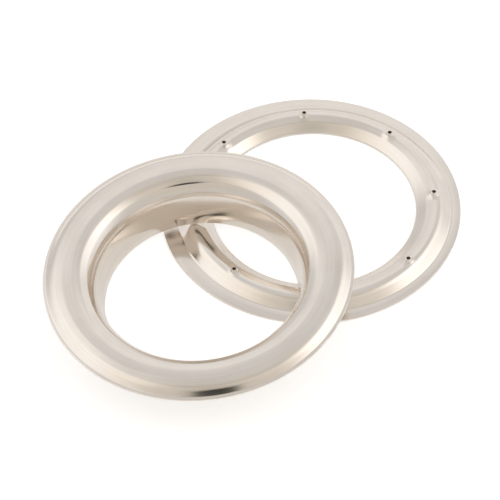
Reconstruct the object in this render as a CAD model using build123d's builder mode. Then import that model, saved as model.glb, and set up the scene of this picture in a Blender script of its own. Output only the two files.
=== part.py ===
from build123d import *
import math
import os

# Two-piece metal grommet: a drawn eyelet and the toothed washer that clamps cloth against it.
# Millimetres, +Z up. The origin is the centre of the washer's hole, on the surface it lies on.

# Sheet that both pieces are stamped from
sheet = 0.45
edge_round = 0.12

# Eyelet: a straight barrel with a tapered free end, a rolled throat, a domed flange and a flat lip
bore_radius = 21.16
barrel_wall = 2.49
end_taper = 18.0
end_run = 2.81
end_bend_round = 6.0
throat_round = 4.0
throat_slope = 38.0
shoulder_round = 5.6
dome_round = 6.4
dome_slope = 36.0
dome_drop = 1.44
lip_foot_round = 0.5
lip_width = 1.22

# Toothed washer: a plain hole, a round-topped bead and a flat flange
hole_clearance = 0.14
bead_inset = 4.15
bead_height = 2.25
bead_round = 2.2
bead_outer_slope = 36.5
bead_inner_slope = 34.0
bead_outer_foot_round = 0.6
bead_inner_foot_round = 0.8
flange_reach = 6.1
rim_run_out = 0.76
rim_run_out_bearing = 166.0

# Teeth pierced up through the top of the bead
tooth_count = 8
first_tooth_bearing = 2.65
tooth_inset = 3.9
tooth_base_radius = 1.1
tooth_sink = 0.43
tooth_height = 0.65
tooth_tip_radius = 0.46
pierced_foot_radius = 0.6
pierced_tip_radius = 0.34

# How the eyelet leans: its barrel end stands on the surface and lies across the bead
eyelet_distance = 35.24
eyelet_bearing = 227.0
rest_gap = 0.01

# Radii that follow from the bore, so that the two pieces stay a pair
taper_angle = math.radians(end_taper)
end_radius = bore_radius - end_bend_round * (1 - math.cos(taper_angle)) - end_run * math.sin(taper_angle)
barrel_radius = bore_radius + sheet
hole_radius = barrel_radius + hole_clearance
bead_radius = hole_radius + bead_inset
tooth_circle = hole_radius + tooth_inset
washer_rim_radius = bead_radius + flange_reach


def slope_run(drop, slope, top_round, foot_round):
    """Length of a straight slope that falls by drop, between its top round and its foot round."""
    turned = 1 - math.cos(math.radians(slope))
    return (drop - (top_round + foot_round) * turned) / math.sin(math.radians(slope))


# One tooth: a burr with hollow flanks, drawn on its own axis with its foot at bead level
tooth_foot = bead_height - tooth_sink
tooth_top = bead_height + tooth_height

with BuildPart(mode=Mode.PRIVATE) as tooth:
    with BuildSketch(Plane.XZ):
        with BuildLine():
            flank = TangentArc((tooth_base_radius, tooth_foot), (tooth_tip_radius, tooth_top), tangent=(-1, 1))
            Polyline(flank @ 1, (0, tooth_top), (0, tooth_foot), flank @ 0)
        make_face()
    revolve(axis=Axis.Z)

# Toothed washer: one sheet section revolved, its rim trimmed a little off centre by the press
bead_rise = bead_height - sheet
outer_run = slope_run(bead_rise, bead_outer_slope, bead_round, bead_outer_foot_round)
inner_run = slope_run(bead_rise, bead_inner_slope, bead_round, bead_inner_foot_round)
blank_radius = washer_rim_radius + 2 * rim_run_out
under_bead = bead_height - 2 * sheet

with BuildPart() as toothed_washer:
    with BuildSketch(Plane.XZ) as washer_section:
        with BuildLine():
            crest = (bead_radius, bead_height)
            outer_top = JernArc(crest, (1, 0), bead_round, -bead_outer_slope)
            outer_side = PolarLine(outer_top @ 1, outer_run, -bead_outer_slope)
            outer_foot = JernArc(outer_side @ 1, outer_side % 1, bead_outer_foot_round, bead_outer_slope)
            Line(outer_foot @ 1, (blank_radius, sheet))
            inner_top = JernArc(crest, (-1, 0), bead_round, bead_inner_slope)
            inner_side = PolarLine(inner_top @ 1, inner_run, 180 + bead_inner_slope)
            inner_foot = JernArc(inner_side @ 1, inner_side % 1, bead_inner_foot_round, -bead_inner_slope)
            Line(inner_foot @ 1, (hole_radius, sheet))
            offset(amount=sheet, side=Side.RIGHT)
        make_face()
        fillet(washer_section.vertices().group_by(Axis.X)[0], edge_round)
    revolve(axis=Axis.Z)
    with PolarLocations(rim_run_out, 1, start_angle=rim_run_out_bearing):
        Cylinder(washer_rim_radius, 3 * bead_height, mode=Mode.INTERSECT)
    fillet(toothed_washer.edges().filter_by(GeomType.CIRCLE).group_by(SortBy.RADIUS)[-1], edge_round)
    with PolarLocations(tooth_circle, tooth_count, start_angle=first_tooth_bearing):
        add(tooth.part)
        with Locations((0, 0, under_bead)):
            Cone(
                pierced_foot_radius,
                pierced_tip_radius,
                tooth_top - under_bead,
                align=(Align.CENTER, Align.CENTER, Align.MIN),
                mode=Mode.SUBTRACT,
            )
toothed_washer.part.label = "toothed_washer"

# Lean of the eyelet, from the two places where its outer end edge crosses the top of the bead
edge_radius = end_radius + sheet * math.cos(taper_angle)
edge_drop = sheet * math.sin(taper_angle)
across = (eyelet_distance**2 + edge_radius**2 - bead_radius**2) / (2 * eyelet_distance * edge_radius)
lean = math.degrees(math.asin((bead_height + rest_gap) / (edge_radius * (1 + across))))
low_rise = edge_radius * math.sin(math.radians(lean)) + rest_gap

# Eyelet section, on a plane that stands on the leaning barrel axis
away = Vector(1, 0, 0).rotate(Axis.Z, eyelet_bearing)
hinge = Axis((0, 0, 0), Vector(0, 0, 1).cross(away))
outward = away.rotate(hinge, lean)
upward = Vector(0, 0, 1).rotate(hinge, lean)
barrel_end = away * eyelet_distance + Vector(0, 0, low_rise)
section_plane = Plane(origin=barrel_end, x_dir=outward, z_dir=outward.cross(upward))
dome_run = slope_run(dome_drop, dome_slope, dome_round, lip_foot_round)
throat_turn = 90 - throat_slope

with BuildPart() as eyelet:
    with BuildSketch(section_plane) as eyelet_section:
        with BuildLine():
            end = PolarLine((end_radius, edge_drop), end_run, 90 - end_taper)
            end_bend = JernArc(end @ 1, end % 1, end_bend_round, end_taper)
            barrel = PolarLine(end_bend @ 1, barrel_wall, 90)
            throat = JernArc(barrel @ 1, barrel % 1, throat_round, -throat_turn)
            shoulder = JernArc(throat @ 1, throat % 1, shoulder_round, -throat_slope)
            dome = JernArc(shoulder @ 1, shoulder % 1, dome_round, -dome_slope)
            dome_side = PolarLine(dome @ 1, dome_run, -dome_slope)
            lip_foot = JernArc(dome_side @ 1, dome_side % 1, lip_foot_round, dome_slope)
            Line(lip_foot @ 1, lip_foot @ 1 + Vector(lip_width, 0))
            offset(amount=sheet, side=Side.RIGHT)
        make_face()
        lip_edges = eyelet_section.vertices().group_by(Axis.X)[-1]
        barrel_edges = eyelet_section.vertices().group_by(Axis.Y)[0]
        fillet(lip_edges + barrel_edges, edge_round)
    revolve(axis=Axis(barrel_end, upward))
eyelet.part.label = "eyelet"

os.makedirs("parts", exist_ok=True)
export_step(toothed_washer.part, "parts/toothed_washer.step")
export_step(eyelet.part, "parts/eyelet.step")
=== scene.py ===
import math

import bmesh
import bpy
from mathutils import Matrix, Vector


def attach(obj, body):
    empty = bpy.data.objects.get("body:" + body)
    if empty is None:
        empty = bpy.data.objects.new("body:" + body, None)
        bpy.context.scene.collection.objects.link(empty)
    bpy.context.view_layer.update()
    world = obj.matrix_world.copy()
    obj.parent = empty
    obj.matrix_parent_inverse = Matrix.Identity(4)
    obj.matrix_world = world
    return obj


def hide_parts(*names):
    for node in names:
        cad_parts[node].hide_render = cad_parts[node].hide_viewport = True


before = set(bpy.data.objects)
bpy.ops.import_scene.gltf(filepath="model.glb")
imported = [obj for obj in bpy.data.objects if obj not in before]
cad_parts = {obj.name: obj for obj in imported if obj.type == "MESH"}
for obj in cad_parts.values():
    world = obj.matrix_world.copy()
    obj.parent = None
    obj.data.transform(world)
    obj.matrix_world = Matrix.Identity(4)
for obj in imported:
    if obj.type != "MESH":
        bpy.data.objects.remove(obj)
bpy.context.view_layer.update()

# Camera: a long lens looking down at the two pieces on the table, turned a degree and a half
# about its own line of sight, as the picture was taken by hand.
camera_data = bpy.data.cameras.new("table_camera")
camera_data.sensor_width = 36.0
camera_data.lens = 158.8
camera_data.clip_start = 0.01
camera_data.clip_end = 20.0
camera = bpy.data.objects.new("table_camera", camera_data)
bpy.context.scene.collection.objects.link(camera)
camera.location = (-0.01389, -0.31443, 0.35132)
height_angle = 49.226
look_down = Matrix.Rotation(math.radians(90.0 - height_angle), 3, "X")
hand_roll = Matrix.Rotation(math.radians(-1.466), 3, "Z")
camera.rotation_euler = (look_down @ hand_roll).to_euler()
bpy.context.scene.camera = camera
bpy.context.scene.view_settings.view_transform = "Standard"


# Studio: large soft lights at left, right and behind, and the dark of the camera in front. They are
# painted on the world, so they stay where they are in every view. The camera itself sees white.
class Wire:
    """A shader socket that takes part in ordinary arithmetic."""

    def __init__(self, tree, socket=None):
        self.tree = tree
        self.socket = socket

    def node(self, kind, inputs=(), out=0, **settings):
        """Adds a node with its settings, sets or links its sockets, and gives one output."""
        made = self.tree.nodes.new(kind)
        for key, value in settings.items():
            setattr(made, key, value)
        for key, value in dict(inputs).items():
            if isinstance(value, Wire):
                self.tree.links.new(value.socket, made.inputs[key])
            else:
                made.inputs[key].default_value = value
        return Wire(self.tree, made.outputs[out] if made.outputs else None)

    def maths(self, operation, *values):
        return self.node("ShaderNodeMath", dict(enumerate(values)), operation=operation)

    def __add__(self, other):
        return self.maths("ADD", self, other)

    __radd__ = __add__

    def __sub__(self, other):
        return self.maths("SUBTRACT", self, other)

    def __rsub__(self, other):
        return self.maths("SUBTRACT", other, self)

    def __mul__(self, other):
        return self.maths("MULTIPLY", self, other)

    __rmul__ = __mul__

    def smooth(self, low, high):
        """0 below low, 1 above high, with an even S between them."""
        ends = {"Value": self, "From Min": low, "From Max": high}
        return self.node("ShaderNodeMapRange", ends, interpolation_type="SMOOTHSTEP")

    def mix(self, factor, first, second):
        """The first colour where factor is 0, the second where it is 1."""
        ends = {0: factor, 6: first, 7: second}
        return self.node("ShaderNodeMix", ends, out=2, data_type="RGBA")


def bare_nodes(owner):
    """Empties the node tree of a world or material and gives a wire to build on."""
    owner.use_nodes = True
    owner.node_tree.nodes.clear()
    return Wire(owner.node_tree)


world = bpy.data.worlds.new("studio")
bpy.context.scene.world = world
sky = bare_nodes(world)
way = sky.node("ShaderNodeTexCoord", out="Generated")


def soft_light(azimuth, elevation, inner, outer):
    """A round patch of light: full within inner degrees of its middle, gone at outer degrees."""
    a, e = math.radians(azimuth), math.radians(elevation)
    middle = (math.cos(a) * math.cos(e), math.sin(a) * math.cos(e), math.sin(e))
    ends = {0: way, 1: middle}
    near = sky.node("ShaderNodeVectorMath", ends, out="Value", operation="DOT_PRODUCT")
    return near.smooth(math.cos(math.radians(outer)), math.cos(math.radians(inner)))


white_walls = 0.691
room = (
    white_walls
    + 0.228 * soft_light(49.7, 43.4, 4, 76)
    + 0.362 * soft_light(6.9, 38.3, 0, 34.7)
    + 0.449 * soft_light(172.4, 41.7, 0, 43.7)
    + 0.25 * soft_light(-1, 48, 0, 18)
    - 0.16 * soft_light(60, 45, 3, 15)
    - 0.22 * soft_light(-89.4, 55.6, 0, 17)
    - 0.195 * soft_light(59, 79.7, 22.5, 32)
)
dark_camera = soft_light(-86.3, 48.3, 8.0, 13.2)
room = room * (1 - 0.93 * dark_camera)
seen = sky.node("ShaderNodeLightPath", out="Is Camera Ray")
shade = sky.node("ShaderNodeMix", {0: seen, 2: room, 3: 1.0}, data_type="FLOAT")
white = (1, 1, 1, 1)
warm_white = (1.0, 0.955, 0.875, 1)
warm_side = soft_light(-90, 50, 20, 65)
tint = sky.mix(seen, sky.mix(warm_side, white, warm_white), white)
backing = sky.node("ShaderNodeBackground", {"Color": tint, "Strength": shade})
sky.node("ShaderNodeOutputWorld", {"Surface": backing})

# Table: a sheet of white paper under the pieces. It lies 0.02 mm below them so that no two faces
# share a plane, and it keeps their shadow.
bpy.ops.object.select_all(action="DESELECT")
bpy.ops.mesh.primitive_plane_add(size=6.0, location=(0, 0, 0))
table = bpy.context.object
table.name = "table_sheet"
paper = bpy.data.materials.new("white_sheet")
pulp = bare_nodes(paper)
matt = pulp.node("ShaderNodeBsdfDiffuse", {"Color": (0.86, 0.86, 0.86, 1)})
by_camera = pulp.node("ShaderNodeLightPath", out="Is Camera Ray")
by_metal = pulp.node("ShaderNodeLightPath", out="Is Glossy Ray")
lift = pulp.node("ShaderNodeEmission", {"Strength": by_camera * 0.5 + by_metal * 0.24})
both = pulp.node("ShaderNodeAddShader", {0: matt, 1: lift})
pulp.node("ShaderNodeOutputMaterial", {"Surface": both})
table.data.materials.append(paper)
table.location.z = -0.00002


# Toothed washer: one disc of nickel-plated steel sheet, stamped with a plain hole, a round-topped
# bead and a flat flange. Its rim was trimmed a little off centre, and eight teeth were pierced up
# through the bead. It lies flat on the table, teeth up.
MM = 0.001
sheet_thickness = 0.45


def pick(piece, wanted):
    """Selects, in edit mode, the vertices whose place passes the test."""
    shape = bmesh.from_edit_mesh(piece.data)
    for v in shape.verts:
        v.select_set(wanted(v.co))
    shape.select_flush_mode()
    bmesh.update_edit_mesh(piece.data)


def turned(name, corners, steps):
    """A shell turned about Z from corners (radius, height, round) joined in order."""
    bpy.ops.object.select_all(action="DESELECT")
    bpy.ops.mesh.primitive_plane_add(size=MM, location=(0, 0, 0))
    made = bpy.context.object
    made.name = name
    bpy.ops.object.mode_set(mode="EDIT")
    bpy.ops.mesh.select_mode(type="VERT")
    bpy.ops.mesh.merge(type="CENTER")
    spots = [Vector((radius * MM, 0, height * MM)) for radius, height, _ in corners]
    at = spots[0].copy()
    bpy.ops.transform.translate(value=at)
    for spot in spots[1:]:
        step = spot - at
        bpy.ops.mesh.extrude_region_move(TRANSFORM_OT_translate={"value": step})
        at += step
    for index, (_, _, ease) in enumerate(corners):
        if not ease:
            continue
        before, here, after = spots[index - 1 : index + 2]
        turn = (here - before).angle(after - here)
        pick(made, lambda place: (place - here).length < 0.001 * MM)
        bpy.ops.mesh.bevel(
            offset=ease * MM * math.tan(turn / 2),
            segments=max(4, round(math.degrees(turn) / 3 * min(1, ease / 0.4))),
            affect="VERTICES",
        )
    bpy.ops.mesh.select_all(action="SELECT")
    bpy.ops.mesh.spin(steps=steps, angle=math.tau, center=(0, 0, 0), axis=(0, 0, 1))
    bpy.ops.mesh.select_all(action="SELECT")
    bpy.ops.mesh.remove_doubles(threshold=0.001 * MM)
    bpy.ops.mesh.normals_make_consistent(inside=False)
    bpy.ops.object.mode_set(mode="OBJECT")
    return made


def take(piece):
    """Makes a piece the one that is selected and worked on."""
    bpy.ops.object.select_all(action="DESELECT")
    piece.select_set(True)
    bpy.context.view_layer.objects.active = piece


def apply_modifier(piece, kind, **settings):
    """Adds one modifier with its settings and applies it at once."""
    take(piece)
    added = piece.modifiers.new(kind.lower(), kind)
    for key, value in settings.items():
        setattr(added, key, value)
    bpy.ops.object.modifier_apply(modifier=added.name)


def thicken(piece, edge_round):
    """Gives a shell the sheet's thickness below its top surface, and eases its cut edges."""
    apply_modifier(piece, "SOLIDIFY", thickness=sheet_thickness * MM, offset=-1.0)
    eased = {"segments": 3, "limit_method": "ANGLE", "angle_limit": math.radians(60)}
    apply_modifier(piece, "BEVEL", width=edge_round * MM, **eased)


# Section from the hole, over the bead, to the rim. The corners without a round lie along the bead's
# inner slope and give it the rings of vertices that rise round the teeth.
washer_corners = [
    (21.75, 0.45, 0),
    (21.92, 0.45, 0.15),
    (22.6, 0.905, 0),
    (23.2, 1.295, 0),
    (23.9, 1.75, 1.2),
    (24.5, 1.912, 0),
    (25.1, 2.074, 0),
    (26.05, 2.33, 3.0),
    (27.35, 1.868, 4.0),
    (29.23, 0.45, 0.9),
    (31.99, 0.45, 0),
]
washer = turned("stamped_washer", washer_corners, 360)
bpy.ops.object.mode_set(mode="EDIT")
pick(washer, lambda place: place.xy.length > 31.5 * MM)
bpy.ops.transform.translate(value=(-0.742 * MM, 0.184 * MM, 0))

# The bead is drawn up a little inside each tooth.
tooth_count = 8
first_tooth = 2.65
tooth_circle = 25.65
tooth_top = 2.9
rise_circle = 25.1
for count in range(tooth_count):
    bearing = math.radians(first_tooth + count * 360 / tooth_count)
    peak = Matrix.Rotation(bearing, 3, "Z") @ Vector((rise_circle * MM, 0, 0))
    pick(washer, lambda place: (place.xy - peak.xy).length < 0.5 * MM)
    bpy.ops.transform.translate(
        value=(0, 0, 0.2 * MM),
        use_proportional_edit=True,
        proportional_edit_falloff="SMOOTH",
        proportional_size=1.5 * MM,
    )
bpy.ops.object.mode_set(mode="OBJECT")
thicken(washer, 0.1)

# Each tooth is a burr of the washer's own sheet with a hollow flank. The tapered pin that pushed it
# up leaves its tip open.
burr_corners = [
    (0, 1.84, 0),
    (1.2, 1.84, 0),
    (1.04, 2.06, 0.2),
    (0.72, 2.32, 0.5),
    (0.48, tooth_top, 0.04),
    (0, tooth_top, 0),
]
pin_corners = [(0, 1.2, 0), (0.62, 1.2, 0), (0.38, 3.1, 0), (0, 3.1, 0)]
burr = turned("burr", burr_corners, 48)
pin = turned("pin", pin_corners, 40)


def set_round_bead(first):
    """Copies a tool to each place on the tooth circle and joins the copies."""
    copies = []
    for count in range(tooth_count):
        copy = bpy.data.objects.new(first.name, first.data.copy())
        bpy.context.scene.collection.objects.link(copy)
        bearing = math.radians(first_tooth + count * 360 / tooth_count)
        spot = (tooth_circle * MM * math.cos(bearing), tooth_circle * MM * math.sin(bearing), 0)
        copy.data.transform(Matrix.Translation(spot))
        copies.append(copy)
    bpy.ops.object.select_all(action="DESELECT")
    for copy in copies:
        copy.select_set(True)
    bpy.context.view_layer.objects.active = copies[0]
    bpy.ops.object.join()
    bpy.data.objects.remove(first)
    return copies[0]


for tool, how in ((set_round_bead(burr), "UNION"), (set_round_bead(pin), "DIFFERENCE")):
    apply_modifier(washer, "BOOLEAN", object=tool, operation=how, solver="MANIFOLD")
    bpy.data.objects.remove(tool)
washer.data.materials.clear()

take(washer)
bpy.ops.object.mode_set(mode="EDIT")
bpy.ops.mesh.select_all(action="SELECT")
bpy.ops.mesh.remove_doubles(threshold=0.001 * MM)
bpy.ops.mesh.quads_convert_to_tris(quad_method="BEAUTY", ngon_method="BEAUTY")
bpy.ops.mesh.dissolve_degenerate(threshold=0.002 * MM)
bpy.ops.mesh.select_all(action="SELECT")
bpy.ops.mesh.quads_convert_to_tris(quad_method="BEAUTY", ngon_method="BEAUTY")
bpy.ops.object.mode_set(mode="OBJECT")
bpy.ops.object.shade_smooth_by_angle(angle=math.radians(30))


def nickel_plate(name, centre, turn, bare_shaded_holes=False):
    """Satin nickel whose fine drawn rings run round the axis that centre and turn give."""
    made = bpy.data.materials.new(name)
    plate = bare_nodes(made)
    where = plate.node("ShaderNodeTexCoord", out="Object")
    placed = {"Vector": where, "Location": centre, "Rotation": turn}
    own = plate.node("ShaderNodeMapping", placed, vector_type="TEXTURE")
    split = plate.node("ShaderNodeSeparateXYZ", {"Vector": own}).socket.node
    x, y, z = (Wire(plate.tree, number) for number in split.outputs)
    radius = plate.maths("SQRT", x * x + y * y)

    def noise(spot, scale, detail):
        inputs = {"Vector": spot, "Scale": scale / MM, "Detail": detail}
        return plate.node("ShaderNodeTexNoise", inputs, out="Fac")

    def drawn(across, along):
        """Noise in rings: across streaks to a millimetre, each about 1 / along millimetres long."""
        rings = {"X": radius * across + z * (0.8 * across), "Y": x * along, "Z": y * along}
        return noise(plate.node("ShaderNodeCombineXYZ", rings), 1.0, 3.0)

    cloud = noise(own, 0.16, 4.0)
    grain = noise(own, 5.0, 2.0)
    rings = drawn(2.2, 0.05)
    hairs = drawn(9.0, 0.12)
    worn = (cloud * 0.4 + rings * 0.35 + hairs * 0.25).smooth(0.4, 0.6)
    bright_nickel, worn_nickel = (0.842, 0.780, 0.712, 1), (0.805, 0.735, 0.668, 1)
    colour = plate.mix(worn, bright_nickel, worn_nickel)
    if bare_shaded_holes:
        # Bare steel inside the tooth holes, which narrow upwards as the pin did; its near-black
        # colour is painted shade for the dark in the holes.
        half_pitch = math.radians(180 / tooth_count)
        bearing = plate.maths("ARCTAN2", y, x) - math.radians(first_tooth)
        bearing = plate.maths("WRAP", bearing, half_pitch, -half_pitch)
        along = radius * plate.maths("COSINE", bearing) - tooth_circle * MM
        aside = radius * plate.maths("SINE", bearing)
        out = plate.maths("SQRT", along * along + aside * aside)
        torn_and_shaded_radius, pin_taper = 0.44 * MM, 0.126
        torn_and_shaded = torn_and_shaded_radius + (tooth_top * MM - z) * pin_taper - out
        # Painted shade: the hole walls are coloured near black.
        colour = plate.mix(torn_and_shaded.smooth(-0.01 * MM, 0.02 * MM), colour, (0.07, 0.06, 0.05, 1))
    height = rings * 0.5 + hairs * 0.3 + grain * 0.2
    relief = {"Height": height, "Strength": 0.45, "Distance": 0.004 * MM}
    skin = {
        "Base Color": colour,
        "Metallic": 1.0,
        "Roughness": 0.095 + cloud * 0.05 + hairs * 0.05,
        "Normal": plate.node("ShaderNodeBump", relief),
    }
    surface = plate.node("ShaderNodeBsdfPrincipled", skin)
    plate.node("ShaderNodeOutputMaterial", {"Surface": surface})
    return made


washer.data.materials.append(nickel_plate("washer_nickel", (0, 0, 0), (0, 0, 0), bare_shaded_holes=True))
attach(washer, "root")
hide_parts("toothed_washer")

# Eyelet: drawn from one nickel-plated steel sheet into a barrel that flares, through a rolled
# throat, into a domed flange with a flat lip. It isn't fixed: the edge of its barrel stands on the
# table at one side and lies across the top of the washer's bead at the other.
eyelet_corners = [
    (20.0, 0.139, 0),
    (19.94, 2.6, 5.0),
    (21.15, 8.55, 5.5),
    (22.62, 10.40, 1.5),
    (24.10, 11.24, 2.2),
    (25.45, 11.443, 6.0),
    (27.58, 11.413, 3.0),
    (29.2, 11.13, 2.5),
    (30.0, 10.71, 3.0),
    (31.0, 9.985, 0.4),
    (31.58, 9.985, 0),
]
eyelet = turned("drawn_eyelet", eyelet_corners, 360)
thicken(eyelet, 0.12)
eyelet_bearing = Matrix.Rotation(math.radians(227.0), 4, "Z")
barrel_end = Matrix.Translation((35.24 * MM, 0, 1.3501 * MM))
lean = Matrix.Rotation(math.radians(3.7617), 4, "Y")
stand = eyelet_bearing @ barrel_end @ lean
eyelet.matrix_world = stand
take(eyelet)
bpy.ops.object.transform_apply(location=True, rotation=True, scale=True)
bpy.ops.object.shade_smooth_by_angle(angle=math.radians(30))
eyelet.data.materials.append(nickel_plate("eyelet_nickel", stand.translation, stand.to_euler()))
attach(eyelet, "root")
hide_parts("eyelet")
